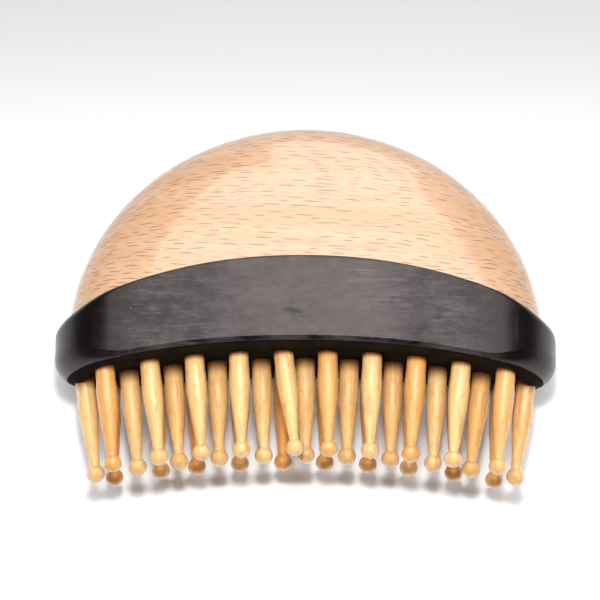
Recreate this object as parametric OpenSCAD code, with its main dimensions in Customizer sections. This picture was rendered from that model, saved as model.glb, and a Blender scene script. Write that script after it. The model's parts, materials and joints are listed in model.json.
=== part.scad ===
// Scalp massager brush: a half-moon wooden handle in a moulded rubber boot, with three staggered
// rows of ball-tipped wooden pins that push back into the air gap behind the boot's membrane.
// It lies on its back: +Z is up, the pins point along -Y and the top of the dome along +Y.
// The origin is the middle of the bounding box's bottom face.

/* [Rubber boot] */
// Overall width of the boot
boot_w = 94.4; // [93.6:0.2:96]
// Overall depth of the boot, front face to back face
boot_d = 33; // [32:0.5:36]
// Height of the boot at its middle, from the membrane to the upper edge
boot_h = 16.3; // [16:0.1:18]
// Width of the flat part of the front and back faces
flat_w = 20; // [16:1:26]
// Radius of the boot's ends, seen along the pins
boot_end_r = 14; // [12:0.5:14.5]
// Radius of the boot's end corners, seen from the front
corner_r = 4.4; // [3:0.2:4.4]
// Radius of the curve along the boot's upper edge
edge_r = 111; // [104:1:120]
// Radius of the hollow curve that the membrane follows from end to end
arch_r = 217; // [200:1:260]
// Thickness of the membrane that holds the pins
membrane_t = 2; // [1.8:0.1:2.4]

/* [Wooden handle] */
// Greatest width of the wood, inside the boot
wood_w = 89.3; // [88:0.1:90]
// Greatest depth of the wood, inside the boot
wood_d = 29.4; // [28:0.2:30]
// Height of the top of the dome above the middle of the membrane
dome_top = 44.8; // [40:0.2:52]
// Squareness of the wood seen along the pins: 2 is an ellipse
plan_power = 2.7; // [2.2:0.1:2.8]
// Squareness of the dome seen from the side: 2 is an ellipse
side_power = 2.4; // [2:0.1:2.8]
// Depth of the air gap behind the membrane
gap_h = 4.6; // [4.4:0.1:6]

/* [Pins] */
// Number of pins in the middle row; the outer rows have one fewer
middle_count = 11; // [7:1:11]
// Distance from pin to pin at the membrane
pin_pitch = 8.32; // [8:0.02:8.4]
// Distance from row to row
row_pitch = 6.6; // [6:0.1:7]
// Distance from the membrane to the centre of the ball tip
pin_reach = 18.3; // [17.5:0.1:21]
// Diameter of the pin where it goes through the membrane
shank_d = 3.7; // [3.4:0.1:3.8]
// Greatest diameter of the pin
belly_d = 3.9; // [3.8:0.1:4.2]
// Diameter of the pin just above its ball tip
neck_d = 1.74; // [1.6:0.02:2.2]
// Diameter of the ball tip
ball_d = 3.4; // [3.2:0.1:4]
// How far a pin can be pushed back into the boot
pin_travel = 2.5; // [1:0.1:2.5]
// Change of pin direction for each millimetre from the middle, in degrees
fan_rate = 0.178; // [0.14:0.002:0.2]
// How much the pins lean out of line in the soft rubber: 0 is a perfect row
looseness = 1; // [0:0.1:1]

/* [Hidden] */
// Radial clearance of a pin in the membrane
pin_clearance = 0.05;
// Membrane left under each pin's root head, and the head's free play above it
seat_t = 1.5;
seat_play = 0.05;
head_d = 4.2;
head_h = 1.3;
// Half width of the slot in the wood beyond the outer rows' heads
slot_margin = 0.7;
// The shank is straight this far past its travel; the belly and the straight taper start at these heights
shank_margin = 0.1;
belly_z = 4.8;
taper_z = 9;
// Height above the membrane at which the wood is widest
wood_base = 3;
// Squareness of the wood near the top of the dome
top_power = 2.1;
// Faces of the dome: sides of a ring, and rings from the base to the top
ring_sides = 60;
ring_count = 18;
// Longer than the part in any direction
far = 200;
fine = 360;

half_w = boot_w / 2;
half_d = boot_d / 2;
flat_x = flat_w / 2;
end_x = half_w - boot_end_r;
// Side arc that is tangent to the flat face and to the end arc
side_r = (pow(end_x - flat_x, 2) + pow(half_d, 2) - pow(boot_end_r, 2)) / (2 * (half_d - boot_end_r));
tangent_x = flat_x + (end_x - flat_x) * side_r / (side_r - boot_end_r);
dome_h = dome_top - wood_base;
slot_half = row_pitch + head_d / 2 + slot_margin;
swell_z = pin_travel + shank_margin;
neck_z = pin_reach - ball_d / 2;

// Sideways lean of each pin, left to right, in degrees; the fifth in the front row is plainly crooked
FRONT_LEANS = [-1, 1.5, 1.5, 0, 6.5, 1.5, 1, 0, 0, 1.5];
MIDDLE_LEANS = [0.5, 0.5, 0, -1, 0.5, 0.5, 0, 1, 1.5, -1, 0.5];
BACK_LEANS = [-2, 1, -2.5, -1.5, -0.5, -0.5, 0.5, 0, 2, 1.5];

// The rows: name, number of pins, height from the middle row, leans
ROWS = [
    ["pin_front", middle_count - 1, row_pitch, FRONT_LEANS],
    ["pin_middle", middle_count, 0, MIDDLE_LEANS],
    ["pin_back", middle_count - 1, -row_pitch, BACK_LEANS],
];
function pin_name(row, i) = str(ROWS[row][0], i < 10 ? "_0" : "_", i);
function pin_x(row, i) = (i - (ROWS[row][1] + 1) / 2) * pin_pitch;
function pin_lean(row, i) = looseness * ROWS[row][3][i - 1] - fan_rate * pin_x(row, i);
function arch_y(x, r) = sqrt(r * r - x * x) - r;
function edge_y(x) = boot_h + arch_y(x, edge_r);

// The lowest pin tip sets where the origin lies between the tips and the top of the dome
function end_y(row, i) = arch_y(pin_x(row, i), arch_r) - pin_reach * cos(pin_lean(row, i)) - ball_d / 2;
tip_y = min([for (row = [0 : 2]) for (i = [1 : ROWS[row][1]]) end_y(row, i)]);
origin_y = (dome_top + tip_y) / 2;

// Moves a shape from the middle of the membrane into the part's own frame
module placed() {
    translate([0, -origin_y, half_d]) children();
}

// Extrudes an outline drawn in X and Z through the whole height of the part
module through_height() {
    rotate([90, 0, 0]) linear_extrude(far, center = true) children();
}

// Extrudes an outline drawn in X and Y through the whole depth of the part
module through_depth() {
    linear_extrude(far, center = true) children();
}

// Everything above the membrane curve, a given distance in from its outer face
module above_arch(inset) {
    difference() {
        translate([-far / 2, -far / 4]) square([far, far / 2]);
        translate([0, -arch_r]) circle(arch_r + inset, $fn = fine * 2);
    }
}

// The boot seen along the pins: flat faces, side arcs and end arcs, all tangent
module boot_plan() {
    side_z = half_d - side_r;
    square([flat_w, boot_d], center = true);
    for (side = [0, 1]) mirror([side, 0]) {
        intersection() {
            translate([flat_x, side_z]) circle(side_r, $fn = fine);
            translate([flat_x, -side_z]) circle(side_r, $fn = fine);
            translate([flat_x - 1, -half_d]) square([tangent_x - flat_x + 1, boot_d]);
        }
        translate([end_x, 0]) circle(boot_end_r, $fn = fine);
    }
}

// The boot seen from the front: a curved upper edge, a hollow lower edge and rounded end corners
module boot_front() {
    corner_x = half_w - corner_r;
    low = arch_y(corner_x, arch_r) + corner_r;
    high = edge_y(corner_x) - corner_r;
    intersection() {
        above_arch(0);
        translate([0, boot_h - edge_r]) circle(edge_r, $fn = fine * 2);
        union() {
            square([2 * corner_x, far], center = true);
            translate([-half_w, low]) square([boot_w, high - low]);
            for (x = [-corner_x, corner_x]) for (y = [low, high])
                translate([x, y]) circle(corner_r, $fn = fine / 4);
        }
    }
}

// One ring of the wood at height y: a rounded outline that shrinks towards the top of the dome
function bent(value, power) = sign(value) * pow(abs(value), 2 / power);
function ring(y) =
    let (rise = max(0, min(1, (y - wood_base) / dome_h)))
    let (half_x = wood_w / 2 * sqrt(1 - rise * rise))
    let (half_z = wood_d / 2 * pow(1 - pow(rise, side_power), 1 / side_power))
    let (power = plan_power + (top_power - plan_power) * rise)
    [for (k = [0 : ring_sides - 1]) let (a = 360 * k / ring_sides)
        [half_x * bent(cos(a), power), y, half_z * bent(sin(a), power)]];

// The wood from below the membrane to the top of the dome, closed at both ends
module wood_block() {
    levels = concat([-far / 8], [for (k = [0 : ring_count - 1]) wood_base + dome_h * sin(90 * k / ring_count)]);
    rows = len(levels);
    n = ring_sides;
    points = concat([for (y = levels) each ring(y)], [[0, dome_top, 0]]);
    sides = [for (r = [0 : rows - 2]) for (k = [0 : n - 1])
        let (a = r * n + k, b = r * n + (k + 1) % n) each [[a, b, b + n], [a, b + n, a + n]]];
    cap = [for (k = [0 : n - 1]) [(rows - 1) * n + k, (rows - 1) * n + (k + 1) % n, rows * n]];
    base = [[for (k = [0 : n - 1]) n - 1 - k]];
    polyhedron(points, concat(sides, cap, base));
}

// The wooden dome, cut to the membrane's curve, with a slot from end to end for the pins' root heads
module handle() {
    color("burlywood") placed() difference() {
        wood_block();
        through_depth() translate([0, -arch_r]) circle(arch_r + membrane_t, $fn = fine * 2);
        intersection() {
            through_depth() translate([0, -arch_r]) circle(arch_r + membrane_t + gap_h, $fn = fine * 2);
            cube([far, far, 2 * slot_half], center = true);
        }
    }
}

// The rubber boot: a skirt round the wood and a membrane with a seat and a hole for each pin
module cushion() {
    color([0.2, 0.14, 0.13]) placed() difference() {
        intersection() {
            through_height() boot_plan();
            through_depth() boot_front();
        }
        intersection() {
            through_height() polygon([for (p = ring(0)) [p[0], p[2]]]);
            through_depth() above_arch(membrane_t);
        }
        for (row = [0 : 2]) for (i = [1 : ROWS[row][1]]) at_pin(row, i) {
            cylinder(h = far / 8, d = shank_d + 2 * pin_clearance, center = true, $fn = 48);
            translate([0, 0, -seat_t - head_h - pin_travel])
                cylinder(h = head_h + pin_travel, d = head_d + 0.4, $fn = 48);
        }
    }
}

// Places a shape drawn along +Z at a pin's root, pointing towards its tip
module at_pin(row, i) {
    x = pin_x(row, i);
    translate([x, arch_y(x, arch_r), ROWS[row][2]]) rotate([90, 0, pin_lean(row, i)]) children();
}

// Radius of the pin at a height above the membrane: shank, belly, rounded shoulder, then a straight taper
function eased(t) = t * t * (3 - 2 * t);
function shoulder(z) = z < taper_z ? pow(z - belly_z, 2) : (taper_z - belly_z) * (2 * z - taper_z - belly_z);
function pin_radius(z) =
    z < belly_z ? shank_d / 2 + (belly_d - shank_d) / 2 * eased((z - swell_z) / (belly_z - swell_z)) :
    belly_d / 2 - (belly_d - neck_d) / 2 * shoulder(z) / shoulder(neck_z);

// A turned pin: root head, straight shank, swollen body, thin neck and ball tip
module pin(row, i) {
    steps = 16;
    body = [for (k = [0 : steps]) let (z = swell_z + (neck_z - swell_z) * k / steps) [pin_radius(z), z]];
    head_z = -seat_t - seat_play;
    profile = concat(
        [[0, head_z - head_h], [head_d / 2, head_z - head_h], [head_d / 2, head_z], [shank_d / 2, head_z]],
        body, [[neck_d / 2, pin_reach], [0, pin_reach]]);
    color(i % 3 == 0 ? "peru" : "tan") placed() at_pin(row, i) {
        rotate_extrude($fn = 48) polygon(profile);
        translate([0, 0, pin_reach]) sphere(d = ball_d, $fn = 48);
    }
}

handle();
cushion();
for (row = [0 : 2]) for (i = [1 : ROWS[row][1]]) pin(row, i);
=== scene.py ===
import json
import math

import bmesh
import bpy
import numpy as np
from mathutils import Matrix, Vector, noise

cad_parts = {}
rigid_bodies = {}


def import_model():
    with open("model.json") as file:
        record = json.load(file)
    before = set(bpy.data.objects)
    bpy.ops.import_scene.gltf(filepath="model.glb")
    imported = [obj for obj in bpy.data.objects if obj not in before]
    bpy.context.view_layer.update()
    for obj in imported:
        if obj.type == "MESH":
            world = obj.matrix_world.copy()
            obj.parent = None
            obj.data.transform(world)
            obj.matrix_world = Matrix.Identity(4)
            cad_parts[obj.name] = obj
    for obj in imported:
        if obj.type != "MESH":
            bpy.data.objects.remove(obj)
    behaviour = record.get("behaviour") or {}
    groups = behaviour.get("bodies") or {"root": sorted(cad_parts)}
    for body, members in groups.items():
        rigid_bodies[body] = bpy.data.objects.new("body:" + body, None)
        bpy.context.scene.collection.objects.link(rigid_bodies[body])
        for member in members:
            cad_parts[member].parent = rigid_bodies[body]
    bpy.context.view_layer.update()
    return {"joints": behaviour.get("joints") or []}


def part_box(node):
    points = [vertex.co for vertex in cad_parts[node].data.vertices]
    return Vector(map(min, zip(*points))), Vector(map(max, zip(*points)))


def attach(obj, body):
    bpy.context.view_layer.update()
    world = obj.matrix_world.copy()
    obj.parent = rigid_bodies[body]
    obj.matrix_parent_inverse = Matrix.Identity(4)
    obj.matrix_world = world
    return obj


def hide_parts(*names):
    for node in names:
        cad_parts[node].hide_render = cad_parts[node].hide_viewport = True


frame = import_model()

# The brush lies on its back: +Z up, pins along -Y, dome towards +Y. Everything is in metres.
MM = 0.001
BRUSH_BODY = frame["joints"][0]["parent"]
PIN_NODES = [j["child"] for j in frame["joints"]]
PIN_AXES = {j["child"]: -Vector(j["axis"]) for j in frame["joints"]}

# ---------------------------------------------------------------- driving dimensions
BOOT_H = 16.3 * MM  # membrane to upper edge, at the middle
FLAT_X = 10 * MM  # half width of the flat faces
BOOT_END_R = 14 * MM  # the boot's ends, seen along the pins
EDGE_R = 111 * MM  # curve of the upper edge
ARCH_R = 217 * MM  # hollow curve of the membrane
MEMBRANE_T = 2 * MM
GAP_H = 4.6 * MM  # air gap behind the membrane
SLOT_HALF = 9.4 * MM  # half width of the slot for the pins' root heads
WOOD_BASE = 3 * MM  # height above the membrane at which the wood is widest
PLAN_POWER, TOP_POWER, SIDE_POWER = 2.7, 2.1, 2.4  # squareness of the wood's outlines
SEAT_T = 1.5 * MM  # membrane left under a root head
HEAD_R, HEAD_H, SEAT_PLAY = 2.1 * MM, 1.3 * MM, 0.05 * MM
SHANK_R, BELLY_R, NECK_R, BALL_R = 1.85 * MM, 1.95 * MM, 0.87 * MM, 1.7 * MM
SWELL_Z, BELLY_Z, TAPER_Z, PIN_REACH = 2.6 * MM, 4.8 * MM, 9 * MM, 18.3 * MM
HOLE_R = 1.9 * MM
PIN_PITCH = 8.32 * MM

boot_lo, boot_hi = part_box("cushion")
wood_lo, wood_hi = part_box("handle")
HALF_W = (boot_hi.x - boot_lo.x) / 2
HALF_D = (boot_hi.z - boot_lo.z) / 2
MID_Z = (boot_hi.z + boot_lo.z) / 2
MEMBRANE_Y = boot_hi.y - BOOT_H  # middle of the membrane's outer face
WOOD_W = (wood_hi.x - wood_lo.x) / 2
WOOD_D = (wood_hi.z - wood_lo.z) / 2
DOME_H = wood_hi.y - MEMBRANE_Y - WOOD_BASE


def membrane_y(x, inset=0):
    """Height of the membrane's outer face, or of a curve the inset behind it, at x from the middle."""
    return np.sqrt((ARCH_R + inset) ** 2 - x * x) - ARCH_R


def eased(t):
    t = np.clip(t, 0, 1)
    return t * t * (3 - 2 * t)


# ---------------------------------------------------------------- mesh helpers
MERGE = 1e-7  # points closer than this become one


def new_piece(name, verts, faces, material):
    mesh = bpy.data.meshes.new(name)
    mesh.from_pydata([tuple(v) for v in verts], [], faces)
    mesh.update()
    piece = bpy.data.objects.new(name, mesh)
    bpy.context.scene.collection.objects.link(piece)
    mesh.materials.append(material)
    return piece


def tidy_normals(piece):
    """Merges doubled points and turns all faces outwards."""
    bm = bmesh.new()
    bm.from_mesh(piece.data)
    bmesh.ops.remove_doubles(bm, verts=bm.verts, dist=MERGE)
    bmesh.ops.dissolve_degenerate(bm, edges=bm.edges, dist=MERGE)
    bmesh.ops.recalc_face_normals(bm, faces=bm.faces)
    bm.to_mesh(piece.data)
    bm.free()


def smooth(piece, angle):
    """Smooth shading, with edges sharper than the angle in degrees kept sharp."""
    piece.data.shade_smooth()
    piece.data.set_sharp_from_angle(angle=math.radians(angle))


def ring_faces(rows, n):
    """Quads between closed rows of n points each."""
    return [
        (r * n + k, r * n + (k + 1) % n, (r + 1) * n + (k + 1) % n, (r + 1) * n + k)
        for r in range(rows - 1)
        for k in range(n)
    ]


def cut(piece, cutters):
    """Takes the cutters away from the piece and deletes them."""
    for cutter in cutters:
        mod = piece.modifiers.new("cut", "BOOLEAN")
        mod.operation = "DIFFERENCE"
        mod.solver = "EXACT"
        mod.object = cutter
    graph = bpy.context.evaluated_depsgraph_get()
    made = bpy.data.meshes.new_from_object(piece.evaluated_get(graph))
    piece.modifiers.clear()
    old = piece.data
    piece.data = made
    bpy.data.meshes.remove(old)
    for cutter in cutters:
        bpy.data.objects.remove(cutter)


def lay_values(piece, name, kind, values):
    """Writes a number or a vector at each point, for a material to read."""
    layer = piece.data.attributes.new(name, kind, "POINT")
    layer.data.foreach_set("vector" if kind == "FLOAT_VECTOR" else "value", values)


# ---------------------------------------------------------------- materials
class Nodes:
    """A short way to write a material's node tree."""

    def __init__(self, name):
        self.material = bpy.data.materials.new(name)
        self.material.use_nodes = True
        self.tree = self.material.node_tree
        self.shader = self.tree.nodes["Principled BSDF"]

    def add(self, kind, inputs=None, **settings):
        node = self.tree.nodes.new(kind)
        for key, value in settings.items():
            setattr(node, key, value)
        for key, value in (inputs or {}).items():
            self.put(node.inputs[key], value)
        return node

    def put(self, socket, value):
        if isinstance(value, bpy.types.NodeSocket):
            self.tree.links.new(value, socket)
        else:
            socket.default_value = value

    def place(self):
        """Where a point of the piece is, in metres."""
        return self.add("ShaderNodeTexCoord").outputs["Object"]

    def laid(self, name, output):
        """A value laid on the mesh by lay_values."""
        return self.add("ShaderNodeAttribute", attribute_name=name).outputs[output]

    def stretched(self, source, scale):
        """Coordinates scaled by features a metre along each axis."""
        return self.add("ShaderNodeMapping", {"Vector": source, "Scale": scale}).outputs[0]

    def split(self, vector):
        """The three parts of a vector or colour."""
        return self.add("ShaderNodeSeparateXYZ", {0: vector}).outputs

    def noise(self, vector, detail=3.0, rough=0.55, distortion=0.0):
        values = {"Vector": vector, "Scale": 1, "Detail": detail}
        values |= {"Roughness": rough, "Distortion": distortion}
        return self.add("ShaderNodeTexNoise", values).outputs["Fac"]

    def ramp(self, value, low, high, start=0.0, end=1.0):
        """value from low..high mapped smoothly to start..end."""
        node = self.add(
            "ShaderNodeMapRange",
            {"Value": value, "From Min": low, "From Max": high, "To Min": start, "To Max": end},
            interpolation_type="SMOOTHSTEP",
        )
        return node.outputs["Result"]

    def maths(self, operation, a, b):
        return self.add("ShaderNodeMath", {0: a, 1: b}, operation=operation).outputs[0]

    def mix(self, factor, a, b):
        node = self.add("ShaderNodeMix", data_type="RGBA")
        self.put(node.inputs[0], factor)
        self.put(node.inputs[6], a)
        self.put(node.inputs[7], b)
        return node.outputs[2]

    def bump(self, height, distance, strength, normal=None):
        node = self.add("ShaderNodeBump", {"Height": height, "Distance": distance, "Strength": strength})
        if normal is not None:
            self.put(node.inputs["Normal"], normal)
        return node.outputs[0]

    def finish(self, colour, roughness, normal, **uniform):
        """Joins the parts to the shader; the uniform values are set on its own sockets."""
        self.put(self.shader.inputs["Base Color"], colour)
        self.put(self.shader.inputs["Roughness"], roughness)
        self.put(self.shader.inputs["Normal"], normal)
        for name, value in uniform.items():
            self.shader.inputs[name.replace("_", " ")].default_value = value
        return self.material


def flecks(m, grain, length, width, share):
    """Short dark pore flecks, one in a share of the cells of a pattern whose rows are slipped at random."""
    thickness = 0.12 * MM / width  # of a fleck, as a part of its row
    u, v, _ = m.split(m.stretched(grain, (1 / length, 1 / width, 1)))
    row = m.maths("FLOOR", v, 0)
    slip = m.add("ShaderNodeTexWhiteNoise", {"W": row}, noise_dimensions="1D").outputs["Value"]
    u = m.maths("ADD", u, m.maths("MULTIPLY", slip, 9))
    cell = m.add("ShaderNodeCombineXYZ", {0: m.maths("FLOOR", u, 0), 1: row}).outputs[0]
    own = m.add("ShaderNodeTexWhiteNoise", {"Vector": cell}, noise_dimensions="2D").outputs["Color"]
    strength, level, reach = m.split(own)
    across = m.maths("SUBTRACT", m.maths("FRACT", u, 0), 0.5)
    across = m.maths("DIVIDE", across, m.ramp(reach, 0, 1, 0.24, 0.5))
    high = m.maths("SUBTRACT", m.maths("FRACT", v, 0), m.ramp(level, 0, 1, 0.3, 0.7))
    high = m.maths("DIVIDE", high, thickness)
    away = m.maths("ADD", m.maths("MULTIPLY", across, across), m.maths("MULTIPLY", high, high))
    inside = m.ramp(away, 0.25, 1.0, 1.0, 0.0)
    return m.maths("MULTIPLY", inside, m.ramp(strength, 1 - share, 1.1 - share / 2))


def beech():
    """Satin beech with long fibres and the short dark pore flecks of a flat-sawn face."""
    tan, light_tan = (0.55, 0.325, 0.185, 1), (0.59, 0.375, 0.23, 1)
    pink_band, fibre_brown = (0.64, 0.42, 0.29, 1), (0.46, 0.245, 0.125, 1)
    faint_pore, dark_pore = (0.3, 0.14, 0.07, 1), (0.2, 0.09, 0.045, 1)
    m = Nodes("beech")
    grain = m.laid("grain", "Vector")
    clouds = m.noise(m.stretched(m.place(), (22, 45, 45)))
    bands = m.noise(m.stretched(grain, (14, 260, 1)), detail=4, rough=0.6, distortion=0.3)
    fibres = m.noise(m.stretched(grain, (110, 3600, 1)), rough=0.7)
    sway = m.maths("MULTIPLY", m.noise(m.stretched(grain, (70, 90, 1)), detail=2), 1.6 * MM)
    sideways = m.add("ShaderNodeCombineXYZ", {1: sway}).outputs[0]
    waved = m.add("ShaderNodeVectorMath", {0: grain, 1: sideways}).outputs[0]
    bold = flecks(m, waved, 5.4 * MM, 0.85 * MM, 0.95)
    faint = flecks(m, waved, 3.4 * MM, 0.5 * MM, 0.8)
    colour = m.mix(m.ramp(clouds, 0.35, 0.68), tan, light_tan)
    colour = m.mix(m.ramp(bands, 0.38, 0.7, 0.0, 0.6), colour, pink_band)
    colour = m.mix(m.ramp(fibres, 0.4, 0.75, 0.0, 0.35), colour, fibre_brown)
    colour = m.mix(m.maths("MULTIPLY", faint, 0.4), colour, faint_pore)
    colour = m.mix(m.maths("MULTIPLY", bold, 0.85), colour, dark_pore)
    relief = m.maths("SUBTRACT", m.maths("MULTIPLY", fibres, 0.3), bold)
    normal = m.bump(relief, 0.03 * MM, 0.5)
    return m.finish(colour, m.ramp(fibres, 0.2, 0.8, 0.34, 0.46), normal, Coat_Weight=1.0, Coat_Roughness=0.1)


def rubber():
    """Dark brown rubber, grey along the middle of its faces from rubbing and a painted sheen, with scuffs and
    specks of dust.
    """
    black_brown, rubbed_sheen_grey = (0.003, 0.0015, 0.0015, 1), (0.05, 0.043, 0.043, 1)
    streak_grey, dust_grey = (0.085, 0.076, 0.076, 1), (0.2, 0.19, 0.185, 1)
    rub_sheen_full_x, rub_sheen_gone_x = 27 * MM, 41 * MM  # rubbing and painted sheen up to the first, none beyond the second, where the faces turn from the light
    m = Nodes("rubber")
    place = m.place()
    bloom = m.noise(m.stretched(place, (120, 210, 180)), detail=9, rough=0.8)
    rubbed = m.noise(m.stretched(place, (130, 1500, 900)), detail=4, rough=0.75)
    scuffed = m.noise(m.stretched(place, (35, 35, 35)), detail=2)
    skin = m.noise(m.stretched(place, (2600, 2600, 2600)), detail=2)
    ripple = m.noise(m.stretched(place, (150, 260, 260)))
    dust = m.add("ShaderNodeTexVoronoi", {"Vector": place, "Scale": 620.0}).outputs
    speck = m.ramp(dust["Distance"], 0.05, 0.1, 0.5, 0.0)
    speck = m.maths("MULTIPLY", speck, m.ramp(m.split(dust["Color"])[0], 0.8, 0.9))
    # grey kept to the middle of the faces: rubbing, and a painted sheen where the faces catch the light
    worn_and_sheen = m.ramp(m.maths("ABSOLUTE", m.split(place)[0], 0), rub_sheen_full_x, rub_sheen_gone_x, 1.0, 0.0)
    bloom_and_sheen = m.maths("MULTIPLY", m.ramp(bloom, 0.38, 0.66), worn_and_sheen)
    streaks = m.maths("MULTIPLY", m.ramp(rubbed, 0.5, 0.72), m.ramp(scuffed, 0.42, 0.6, 0.1, 0.8))
    colour = m.mix(bloom_and_sheen, black_brown, rubbed_sheen_grey)
    colour = m.mix(m.maths("MULTIPLY", streaks, worn_and_sheen), colour, streak_grey)
    colour = m.mix(speck, colour, dust_grey)
    roughness = m.ramp(bloom, 0.3, 0.75, 0.27, 0.38)
    normal = m.bump(ripple, 0.12 * MM, 0.5, m.bump(skin, 0.02 * MM, 0.6))
    return m.finish(colour, roughness, normal, Specular_IOR_Level=0.46, Specular_Tint=(1, 0.86, 0.86, 1))


def shaded_rubber():
    """The membrane's outer face: a duller, darker copy of the rubber, painted shade for the faces turned down
    towards the pins.
    """
    m = Nodes("shaded_rubber")
    place = m.place()
    patches = m.noise(m.stretched(place, (240, 240, 240)), detail=4)
    skin = m.noise(m.stretched(place, (3200, 3200, 3200)), detail=2)
    colour = m.mix(patches, (0.004, 0.002, 0.0015, 1), (0.008, 0.0045, 0.0035, 1))
    roughness = m.ramp(patches, 0.3, 0.7, 0.8, 0.92)
    return m.finish(colour, roughness, m.bump(skin, 0.03 * MM, 0.7), Specular_IOR_Level=0.1)


def turned_wood():
    """Pale polished pin wood: fibres along the pin, a tone of its own for each pin, and a root darkened by
    painted shade, partly a stain.
    """
    cream, orange = (0.77, 0.5, 0.21, 1), (0.66, 0.26, 0.04, 1)
    streak_brown, line_brown = (0.54, 0.235, 0.065, 1), (0.38, 0.135, 0.03, 1)
    pale_patch, pore_brown = (0.79, 0.53, 0.24, 1), (0.5, 0.19, 0.04, 1)
    root_shade_and_stain = (0.11, 0.03, 0.008, 1)
    m = Nodes("turned_wood")
    grain = m.laid("grain", "Vector")
    streaks = m.noise(m.stretched(grain, (1500, 1500, 45)), detail=4, rough=0.65)
    lines = m.noise(m.stretched(grain, (3800, 3800, 110)), detail=2, rough=0.6)
    blush = m.noise(m.stretched(grain, (180, 180, 60)), detail=2)
    pores = m.noise(m.stretched(grain, (1500, 1500, 700)), rough=0.7)
    colour = m.mix(m.laid("tone", "Fac"), cream, orange)
    colour = m.mix(m.ramp(streaks, 0.4, 0.72, 0.0, 0.6), colour, streak_brown)
    colour = m.mix(m.ramp(lines, 0.54, 0.75, 0.0, 0.4), colour, line_brown)
    colour = m.mix(m.ramp(blush, 0.5, 0.75, 0.0, 0.5), colour, pale_patch)
    colour = m.mix(m.ramp(pores, 0.52, 0.72, 0.0, 0.5), colour, pore_brown)
    # painted shade darkens each pin at its root, partly a stain from the rubber
    colour = m.mix(m.ramp(m.laid("reach", "Fac"), 0.1, 1.0, 0.92, 0.0), colour, root_shade_and_stain)
    roughness = m.ramp(streaks, 0.3, 0.7, 0.4, 0.52)
    return m.finish(colour, roughness, m.bump(lines, 0.03 * MM, 0.5), Coat_Weight=1.0, Coat_Roughness=0.2)


def pale_floor():
    """A plain pale floor, painted greyer behind the brush as painted shade where the light falls off."""
    front_y, back_y = -20 * MM, 75 * MM
    m = Nodes("pale_floor")
    place = m.place()
    mottle = m.noise(m.stretched(place, (3, 3, 3)), detail=2)
    near = m.mix(mottle, (0.87, 0.87, 0.875, 1), (0.89, 0.89, 0.89, 1))
    # painted shade: the floor greys towards the back, where the light falls off
    far = m.ramp(m.split(place)[1], front_y, back_y)
    m.put(m.shader.inputs["Base Color"], m.mix(far, near, (0.415, 0.42, 0.42, 1)))
    m.shader.inputs["Roughness"].default_value = 0.65
    return m.material


# ---------------------------------------------------------------- wooden handle
WOOD_SIDES, DOME_RINGS, RIM_RINGS = 240, 110, 8


def bent(value, power):
    return np.sign(value) * np.abs(value) ** (2 / power)


def wood_section(y):
    """Half widths and squareness of the wood's outline at heights y above the membrane."""
    rise = np.clip((y - WOOD_BASE) / DOME_H, 0, 1)
    half_x = WOOD_W * np.sqrt(1 - rise * rise)
    half_z = WOOD_D * (1 - rise**SIDE_POWER) ** (1 / SIDE_POWER)
    return half_x, half_z, PLAN_POWER + (TOP_POWER - PLAN_POWER) * rise


def wood_piece(material):
    """The dome, from below the membrane's curve to its top, with the rim and the slot cut away."""
    angles = np.arange(WOOD_SIDES) * 2 * math.pi / WOOD_SIDES
    start = membrane_y(WOOD_W) - MEMBRANE_T
    levels = [start + (WOOD_BASE - start) * k / RIM_RINGS for k in range(RIM_RINGS)]
    levels += [WOOD_BASE + DOME_H * math.sin(math.pi / 2 * k / DOME_RINGS) for k in range(DOME_RINGS)]
    verts = []
    for y in levels:
        half_x, half_z, power = wood_section(y)
        x = half_x * bent(np.cos(angles), power)
        z = half_z * bent(np.sin(angles), power)
        verts += list(zip(x, np.full(WOOD_SIDES, y) + MEMBRANE_Y, z + MID_Z))
    faces = ring_faces(len(levels), WOOD_SIDES)
    top = len(verts)
    verts.append((0, wood_hi.y, MID_Z))
    last = top - WOOD_SIDES
    faces += [(last + k, last + (k + 1) % WOOD_SIDES, top) for k in range(WOOD_SIDES)]
    faces.append(tuple(reversed(range(WOOD_SIDES))))
    piece = new_piece("beech_handle", verts, faces, material)
    tidy_normals(piece)
    rim_cutter = arc_block("rim_cutter", MEMBRANE_T, 2 * HALF_D)
    slot_cutter = arc_block("slot_cutter", MEMBRANE_T + GAP_H, SLOT_HALF)
    cut(piece, [rim_cutter, slot_cutter])
    smooth(piece, 35)
    lay_grain(piece)
    return piece


def lay_grain(piece):
    """Lays the grain as a block shows it whose fibres run along X.

    The first value is a length along the fibres. The second is a way up the front of the dome, over its
    crest and down its back.
    """
    power = SIDE_POWER
    off_axis = 0.002  # keeps the outline's ends off its axes, in radians
    fibre_tilt = 0.05
    turns = np.linspace(off_axis, math.pi / 2 - off_axis, 400)
    curve_z = WOOD_D * np.cos(turns) ** (2 / power)
    curve_y = DOME_H * np.sin(turns) ** (2 / power)
    along = np.concatenate(([0], np.cumsum(np.hypot(np.diff(curve_z), np.diff(curve_y)))))

    def trajectory(y, z):
        """The same all along a line that crosses the side outlines of the dome at right angles."""
        return WOOD_D**power * z ** (2 - power) - DOME_H**power * y ** (2 - power)

    points = np.array([v.co for v in piece.data.vertices])
    rise = points[:, 1] - MEMBRANE_Y - WOOD_BASE
    height = np.clip(rise, 0.1 * MM, DOME_H)
    away = np.maximum(np.abs(points[:, 2] - MID_Z), 0.02 * MM)
    up = np.interp(trajectory(height, away), trajectory(curve_y, curve_z), along)
    up += np.minimum(rise, 0)
    over = np.where(points[:, 2] > MID_Z, up, 2 * along[-1] - up)
    over += fibre_tilt * points[:, 0]
    thick = WOOD_D * (1 - np.minimum(height / DOME_H, 1) ** power) ** (1 / power)
    out = points[:, 0] + np.sign(points[:, 0]) * np.maximum(thick - away, 0)
    values = np.column_stack((out, over, np.zeros_like(over)))
    lay_values(piece, "grain", "FLOAT_VECTOR", values.ravel())


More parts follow.
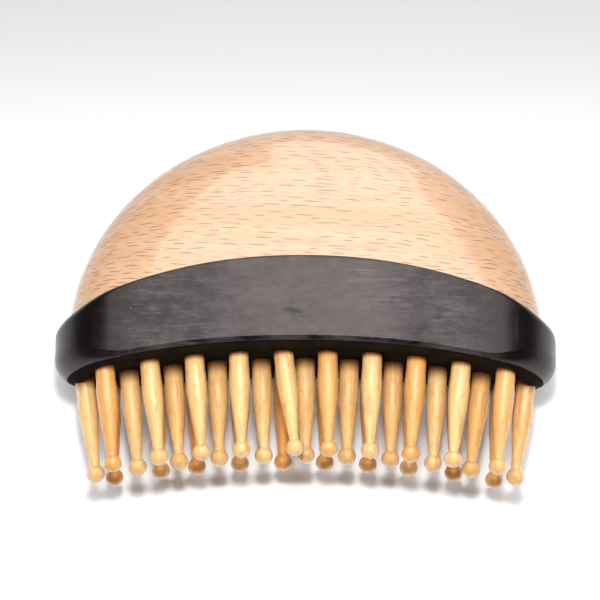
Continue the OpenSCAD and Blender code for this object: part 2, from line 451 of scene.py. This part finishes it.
def arc_block(name, inset, half_depth):
    """A block below a curve that is inset from the membrane's outer face, as deep as asked."""
    bottom = -20 * MM
    xs = np.linspace(-1.2 * HALF_W, 1.2 * HALF_W, 64)
    outline = list(zip(xs, membrane_y(xs, inset))) + [(xs[-1], bottom), (xs[0], bottom)]
    n = len(outline)
    verts = [(x, y + MEMBRANE_Y, MID_Z + z) for z in (-half_depth, half_depth) for x, y in outline]
    faces = ring_faces(2, n) + [tuple(range(n)), tuple(reversed(range(n, 2 * n)))]
    block = new_piece(name, verts, faces, None)
    tidy_normals(block)
    return block


# ---------------------------------------------------------------- rubber boot
OUTLINE_STEP = 0.5 * MM
END_STEP = OUTLINE_STEP / 1.5  # finer round the tight ends
FIT_GAP = 0.1 * MM  # between the boot's inner wall and the wood
SPINE_X = HALF_W - 15 * MM  # the membrane's rows run in to a line this far to either side

# The rounding grows towards the boot's ends, from ENDS_FROM on over ENDS_RUN
ENDS_FROM, ENDS_RUN = 33 * MM, 13 * MM
TOP_ROUND = (0.55 * MM, 2.3 * MM)  # each pair is the value at the middle and at the ends
LIP_IN = (1.5 * MM, 5.2 * MM)
LIP_UP = (0.95 * MM, 4.8 * MM)
ROUND_STEPS = 8

# The thin upper edge: mm in from the inner wall, and mm up from the edge's height
THIN_EDGE = [(0.03, -0.2), (-0.05, -0.06), (-0.16, 0.0)]
CREST_OUT, CREST_UP = 0.1 * MM, 0.03 * MM  # how the crest beside it swells
SEAM_DROP = 0.35 * MM  # the inner wall's rows end this far below the edge

# The front face is hollow by a hair, and a crease runs above the lip
FACE_ROWS, FACE_HOLLOW = 34, 0.04 * MM
CREASE_IN, CREASE_H, CREASE_FOOT = 0.256 * MM, 0.22 * MM, 0.05 * MM

# Marks on the front face, in mm: x, height above the membrane, radius and depth (minus stands proud)
MARKS = [
    (-3.2, 5.2, 1.0, 0.14),
    (-2.0, 6.0, 0.7, -0.09),
    (-1.2, 4.9, 0.6, 0.08),
    (24.8, 4.0, 0.9, 0.09),
    (16.4, 7.6, 0.8, 0.05),
    (-27.2, 12.0, 0.6, 0.12),
    (21.5, 1.6, 0.7, 0.1),
]
MARK_SQUASH = 1.2  # marks are wider than they are high


def boot_outline():
    """Points and outward normals round the boot, seen along the pins, starting at the middle of one face."""
    end_x = HALF_W - BOOT_END_R
    run = end_x - FLAT_X
    side_r = (run**2 + HALF_D**2 - BOOT_END_R**2) / (2 * (HALF_D - BOOT_END_R))
    turn = math.asin(run / (side_r - BOOT_END_R))
    quarter = []
    for k in range(round(FLAT_X / OUTLINE_STEP)):
        quarter.append((k * OUTLINE_STEP, HALF_D, 0.0))
    steps = round(side_r * turn / OUTLINE_STEP)
    for k in range(steps):
        a = turn * k / steps
        quarter.append((FLAT_X + side_r * math.sin(a), HALF_D - side_r + side_r * math.cos(a), a))
    steps = round(BOOT_END_R * (math.pi / 2 - turn) / END_STEP)
    for k in range(steps):
        a = turn + (math.pi / 2 - turn) * k / steps
        quarter.append((end_x + BOOT_END_R * math.sin(a), BOOT_END_R * math.cos(a), a))
    half = quarter + [(HALF_W, 0.0, math.pi / 2)] + [(x, -z, math.pi - a) for x, z, a in quarter[:0:-1]]
    whole = half + [(0.0, -HALF_D, math.pi)] + [(-x, z, -a) for x, z, a in half[:0:-1]]
    x, z, a = np.array(whole).T
    return x, z, np.sin(a), np.cos(a)


def wood_distance(x, z, nx, nz, y):
    """How far in from the boot's outline the wood's surface lies, point by point, at heights y."""
    half_x, half_z, power = wood_section(y)
    low = np.zeros_like(x)
    high = np.full_like(x, 8 * MM)
    for _ in range(30):
        middle = (low + high) / 2
        px = x - nx * middle
        pz = z - nz * middle
        outside = np.abs(px / half_x) ** power + np.abs(pz / half_z) ** power > 1
        low = np.where(outside, middle, low)
        high = np.where(outside, high, middle)
    return (low + high) / 2


def marked(x, y, front):
    """Depth of the marks at a place on the front face."""
    depth = np.zeros_like(x)
    for mark_x, mark_y, radius, deep in MARKS:
        away = np.hypot(x - mark_x * MM, (y - mark_y * MM) * MARK_SQUASH) / (radius * MM)
        depth += deep * MM * np.exp(-away * away) * front
    return depth


def boot_rows():
    """Closed rows of points: up the inner wall, over the edge, down the face and across the membrane."""
    x, z, nx, nz = boot_outline()
    near_end = eased((np.abs(x) - ENDS_FROM) / ENDS_RUN)
    pairs = (TOP_ROUND, LIP_IN, LIP_UP)
    top_r, lip_in, lip_up = (middle + (end - middle) * near_end for middle, end in pairs)
    high = BOOT_H + np.sqrt(EDGE_R**2 - x * x) - EDGE_R
    low = membrane_y(x)
    front = (nz > 0.9).astype(float)
    rows = []

    def wall_in(y):
        return wood_distance(x, z, nx, nz, y) - FIT_GAP

    def row(inset, y):
        rows.append((x - nx * inset, y, z - nz * inset))

    def membrane_rows(inset, shares, behind):
        """Rows of a face of the membrane, part of the way from the inset outline in to the spine."""
        edge_x = x - nx * inset
        edge_z = z - nz * inset
        spine = np.clip(edge_x, -SPINE_X, SPINE_X)
        for t in shares:
            px = edge_x + (spine - edge_x) * t
            rows.append((px, membrane_y(px, behind), edge_z * (1 - t)))

    # inner wall from the membrane up to the seam with the wood
    floor_y = low + MEMBRANE_T
    for t in (0.0, 0.25, 0.5, 0.75, 0.95):
        y = floor_y + (high - SEAM_DROP - floor_y) * t
        row(wall_in(y), y)
    # the thin upper edge, rounded over on to the outer face
    wall = wall_in(high)
    for inward, upward in THIN_EDGE:
        row(wall + inward * MM, high + upward * MM)
    for t in (0.35, 0.7):
        row(wall + (top_r - wall) * t - CREST_OUT * (1 - t), high + CREST_UP * (1 - t))
    for k in range(ROUND_STEPS + 1):
        a = math.pi / 2 * k / ROUND_STEPS
        row(top_r * (1 - math.sin(a)), high - top_r * (1 - math.cos(a)))
    # outer face down to the crease, with its marks
    upper = high - top_r
    lower = low + lip_up
    for k in range(1, FACE_ROWS):
        y = upper + (lower - upper) * k / FACE_ROWS
        hollow = FACE_HOLLOW * math.sin(math.pi * k / FACE_ROWS) * front
        row(marked(x, y, front) + hollow, y)
    # the crease, then the rounded lower lip
    crease_in = CREASE_IN * (1 - near_end)
    row(0 * x, lower)
    row(crease_in, lower - CREASE_H * (1 - near_end) - CREASE_FOOT)
    for k in range(1, ROUND_STEPS + 1):
        a = math.pi / 2 * k / ROUND_STEPS
        across = crease_in + (lip_in - crease_in) * (1 - math.cos(a))
        row(across, low + (lip_up - CREASE_H - CREASE_FOOT) * (1 - math.sin(a)))
    # the membrane's outer face in to its spine, and its inner face out again to the inner wall
    membrane_rows(lip_in, np.linspace(0.06, 1, 16), 0)
    membrane_rows(wall_in(floor_y), np.linspace(1, 0.06, 14), MEMBRANE_T)
    return rows


def boot_piece(material, shaded_material):
    rows = boot_rows()
    count = len(rows)
    n = len(rows[0][0])
    verts = [v for px, py, pz in rows for v in zip(px, py + MEMBRANE_Y, pz + MID_Z)]
    faces = ring_faces(count, n)
    faces += [((count - 1) * n + k, (count - 1) * n + (k + 1) % n, (k + 1) % n, k) for k in range(n)]
    piece = new_piece("rubber_boot", verts, faces, material)
    tidy_normals(piece)
    cut(piece, [hole_cutters()])
    smooth(piece, 40)
    piece.data.materials.append(shaded_material)
    # faces turned down towards the pins take the shaded copy of the rubber, painted shade
    for face in piece.data.polygons:
        if face.normal.y < -0.9:
            face.material_index = 1
    return piece


# ---------------------------------------------------------------- pins
# Tone of each pin's wood, left to right: 0 is pale cream, 1 is deep orange. The back row's tones are deeper,
# partly painted shade where the rows in front and the boot shade it
TONES = {
    "pin_front": (0.65, 0.2, 0.1, 0.05, 0, 0.55, 0, 0.65, 0, 0.5),
    "pin_middle": (0.05, 0.1, 0.2, 0.15, 0.05, 0, 0.2, 0.25, 0, 0.4, 0.2),
    "pin_back": (1, 0.6, 0.8, 0.5, 0.8, 0.8, 0.7, 0.2, 0.9, 0.6),
}
# How far the painted shade at the root, partly a stain from the rubber, reaches up the pins of each row;
# further on the rows that the front row and the boot's lip shade
ROOT_SHADE_AND_STAIN = {"pin_front": 1.3 * MM, "pin_middle": 3 * MM, "pin_back": 3 * MM}

PIN_SIDES, HOLE_SIDES = 44, 40
BODY_STEPS, BALL_STEPS = 30, 14
HEAD_SOFT = 0.2 * MM  # bevel of a root head
NECK_DEPTH = 0.86  # how deep in the ball the neck ends, in ball radii
BALL_SQUASH = 0.96  # the ball is a little flattened along the pin
NECK_STEP = 1.02  # the ball starts this much wider than the neck
UNEVEN = 0.012  # how far a pin's radius strays

SEAT_CLEAR = 0.2 * MM  # round a root head
CUT_OUT, CUT_IN = 4 * MM, 5 * MM  # how far the hole cutters reach
FLARE_FROM, FLARE = 0.4 * MM, 0.4 * MM  # a hole widens outside the membrane, where the lip stands proud


def pin_frame(node):
    """The pin's root on the membrane, its direction and two axes across it."""
    row, number = node.rsplit("_", 1)
    in_row = sum(other.startswith(row) for other in PIN_NODES)
    x = (int(number) - (in_row + 1) / 2) * PIN_PITCH
    lo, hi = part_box(node)
    root = Vector((x, MEMBRANE_Y + membrane_y(x), (lo.z + hi.z) / 2))
    along = PIN_AXES[node]
    across = Vector((-along.y, along.x, 0)).normalized()
    return root, along, across, Vector((0, 0, 1))


def lathe(profile, sides):
    """Rows of points round an axis, from (radius, height) pairs; a radius of 0 is a pole."""
    angles = np.arange(sides) * 2 * math.pi / sides
    return [(r * math.cos(a), r * math.sin(a), h) for r, h in profile for a in angles]


def hole_cutters():
    """One mesh of a hole and a seat for every pin."""
    seat_r = HEAD_R + SEAT_CLEAR
    profile = [(0, CUT_OUT), (HOLE_R + FLARE, CUT_OUT), (HOLE_R, FLARE_FROM), (HOLE_R, -SEAT_T)]
    profile += [(seat_r, -SEAT_T), (seat_r, -CUT_IN), (0, -CUT_IN)]
    verts, faces = [], []
    for node in PIN_NODES:
        root, along, across, up = pin_frame(node)
        first = len(verts)
        verts += [root + across * x + up * y + along * h for x, y, h in lathe(profile, HOLE_SIDES)]
        faces += [[first + k for k in face] for face in ring_faces(len(profile), HOLE_SIDES)]
    cutter = new_piece("hole_cutters", verts, faces, None)
    tidy_normals(cutter)
    return cutter


def shoulder(h):
    """How far the pin has thinned at height h: a parabola from the belly, then a straight taper."""
    if h < TAPER_Z:
        return (h - BELLY_Z) ** 2
    return (TAPER_Z - BELLY_Z) * (2 * h - TAPER_Z - BELLY_Z)


def pin_profile():
    """(radius, height) pairs from the root head to the end of the ball tip."""
    head_top = -SEAT_T - SEAT_PLAY
    head_end = head_top - HEAD_H
    points = [(0, head_end), (HEAD_R - HEAD_SOFT, head_end), (HEAD_R, head_end + HEAD_SOFT)]
    points += [(HEAD_R, head_top - HEAD_SOFT), (HEAD_R - HEAD_SOFT, head_top), (SHANK_R, head_top)]
    neck_z = PIN_REACH - BALL_R * NECK_DEPTH
    for k in range(BODY_STEPS + 1):
        h = neck_z * k / BODY_STEPS
        if h < BELLY_Z:
            r = SHANK_R + (BELLY_R - SHANK_R) * eased((h - SWELL_Z) / (BELLY_Z - SWELL_Z))
        else:
            r = BELLY_R - (BELLY_R - NECK_R) * shoulder(h) / shoulder(neck_z)
        points.append((r, h))
    start = math.asin(NECK_R * NECK_STEP / BALL_R)
    for k in range(BALL_STEPS):
        a = start + (math.pi - start) * k / BALL_STEPS
        points.append((BALL_R * math.sin(a), PIN_REACH - BALL_R * BALL_SQUASH * math.cos(a)))
    points.append((0, PIN_REACH + BALL_R * BALL_SQUASH))
    return points


def pin_piece(node, number, material):
    root, along, across, up = pin_frame(node)
    local = lathe(pin_profile(), PIN_SIDES)
    verts = []
    for x, y, h in local:
        spot = Vector((x * 300, y * 300, h * 120 + 7.3 * number))
        uneven = 1 + UNEVEN * noise.noise(spot)
        verts.append(root + across * x * uneven + up * y * uneven + along * h)
    faces = ring_faces(len(local) // PIN_SIDES, PIN_SIDES)
    piece = new_piece(node + "_turned", verts, faces, material)
    # each pin shows another part of the same grain
    shift = np.array((3.7, 6.1, 2.3)) * MM * number
    lay_values(piece, "grain", "FLOAT_VECTOR", (np.array(local) + shift).ravel())
    row, place = node.rsplit("_", 1)
    lay_values(piece, "tone", "FLOAT", [TONES[row][int(place) - 1]] * len(local))
    # how far up the painted root shade each point lies
    lay_values(piece, "reach", "FLOAT", [h / ROOT_SHADE_AND_STAIN[row] for x, y, h in local])
    tidy_normals(piece)
    smooth(piece, 50)
    return piece


# ---------------------------------------------------------------- build
beech_wood, pin_wood = beech(), turned_wood()

handle = wood_piece(beech_wood)
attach(handle, BRUSH_BODY)
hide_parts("handle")

boot = boot_piece(rubber(), shaded_rubber())
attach(boot, BRUSH_BODY)
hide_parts("cushion")

for number, node in enumerate(PIN_NODES):
    pin = pin_piece(node, number, pin_wood)
    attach(pin, node)
    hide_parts(node)

# ---------------------------------------------------------------- stage, light and camera
bpy.ops.mesh.primitive_plane_add(size=4, location=(0, 0, 0))
floor = bpy.context.object
floor.name = "floor"
floor.data.materials.append(pale_floor())


def area_light(name, radiance, size, place, aim, shape="RECTANGLE", mirrored=True, diffused=True):
    """A lamp whose face has the given radiance.

    One that is not mirrored leaves no glint, and one that is not diffused gives only glints.
    """
    data = bpy.data.lights.new(name, "AREA")
    data.shape = shape
    data.size, data.size_y = size
    face = size[0] * size[1] * (math.pi / 4 if shape == "DISK" else 1)
    data.energy = radiance * face * math.pi
    light = bpy.data.objects.new(name, data)
    light.visible_glossy = mirrored
    light.visible_diffuse = diffused
    light.location = place
    light.rotation_euler = (Vector(aim) - Vector(place)).to_track_quat("-Z", "Y").to_euler()
    bpy.context.scene.collection.objects.link(light)


# Two keys straight above the brush, and large panels above and behind it for the gloss and the fill
area_light("key", 235, (0.06, 0.06), (0, 0.005, 0.62), (0, 0, 0), "DISK", mirrored=False)
area_light("key_bar", 31, (0.85, 0.05), (0.02, 0.01, 0.6), (0.02, 0.01, 0), mirrored=False)
area_light("front_fill", 0.2, (0.9, 0.5), (0, -0.42, 0.52), (0, 0, 0), mirrored=False)
area_light("ceiling_panel", 2.7, (0.95, 1.2), (0.075, 0.615, 0.62), (0.075, 0.615, 0), diffused=False)
area_light("soft_panel", 0.8, (0.95, 1.2), (0.075, 0.615, 0.7), (0.075, 0.615, 0), mirrored=False)
area_light("glint_strip", 20, (0.05, 0.1), (0.03, 0.15, 0.6), (0.03, 0.15, 0), diffused=False)
area_light("back_panel", 2.4, (0.7, 0.6), (0.2, 1.215, 0.32), (0.2, 0, 0.32), diffused=False)

world = bpy.data.worlds.new("studio")
world.use_nodes = True
world.node_tree.nodes["Background"].inputs["Color"].default_value = (0.93, 0.95, 1.0, 1)
world.node_tree.nodes["Background"].inputs["Strength"].default_value = 0.07
bpy.context.scene.world = world
bpy.context.scene.view_settings.view_transform = "Standard"

# The camera stands over the pins, 13 degrees off the front face's normal
TILT = math.radians(13)
DISTANCE = 650 * MM
VIEW_W = 113.2 * MM  # width of the view at the membrane
AIM_LEFT, AIM_UP = 1.1 * MM, 11.3 * MM  # where the view's middle lies from the membrane's middle
toward = Vector((0, -math.sin(TILT), math.cos(TILT)))
image_up = Vector((0, math.cos(TILT), math.sin(TILT)))
membrane = Vector((0, MEMBRANE_Y, MID_Z))
cam_data = bpy.data.cameras.new("camera")
cam_data.sensor_width = 36
cam_data.lens = cam_data.sensor_width * DISTANCE / VIEW_W
camera = bpy.data.objects.new("camera", cam_data)
camera.location = membrane + toward * DISTANCE
aim = membrane - Vector((AIM_LEFT, 0, 0)) + image_up * AIM_UP
camera.rotation_euler = (aim - camera.location).to_track_quat("-Z", "Y").to_euler()
bpy.context.scene.collection.objects.link(camera)
bpy.context.scene.camera = camera
